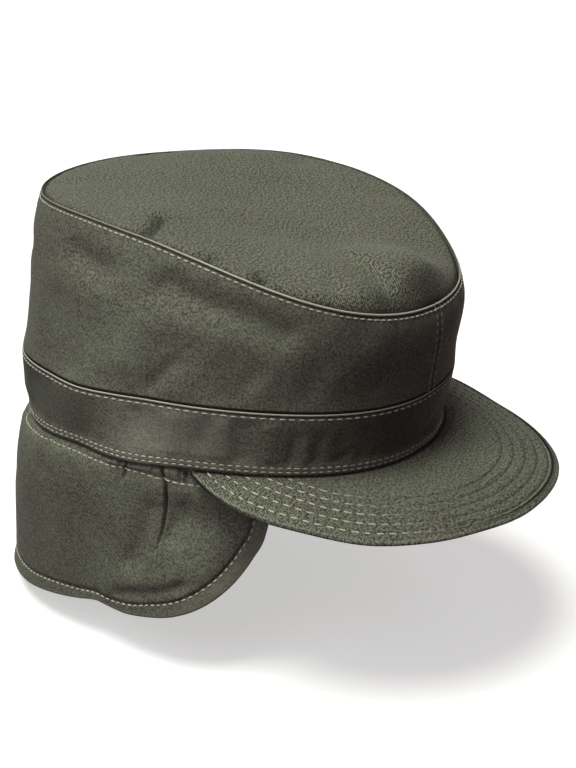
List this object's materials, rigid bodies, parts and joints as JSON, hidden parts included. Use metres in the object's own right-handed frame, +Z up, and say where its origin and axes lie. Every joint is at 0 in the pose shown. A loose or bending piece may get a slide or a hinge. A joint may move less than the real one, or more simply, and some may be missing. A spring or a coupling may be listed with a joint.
{
  "type": "field cap with fold-down ear flaps",
  "caption": "Soft field cap with a flat oval top, a head band, a stitched crescent visor and a curtain folded down over the ears and nape.",
  "frame": {"origin": "middle of the head opening, at the mean level of the band's lower edge, where a head fills the cap", "axes": "+Z up through the crown, -Y towards the front of the visor, +X towards the wearer's left"},
  "size_m": [0.177, 0.2634, 0.1872],
  "materials": {
    "crown_twill": "olive grey cotton twill, matt",
    "band_twill": "olive grey cotton twill, two layers, edge stitched",
    "visor_twill": "olive grey cotton twill over a stiff board, stitched in rows",
    "flap_twill": "olive grey cotton twill, two layers, gathered and hemmed"
  },
  "bodies": {
    "root": {"crown_top": "crown_twill", "crown_side_right": "crown_twill", "crown_side_left": "crown_twill", "band": "band_twill", "visor": "visor_twill", "ear_flap": "flap_twill"}
  },
  "joints": []
}
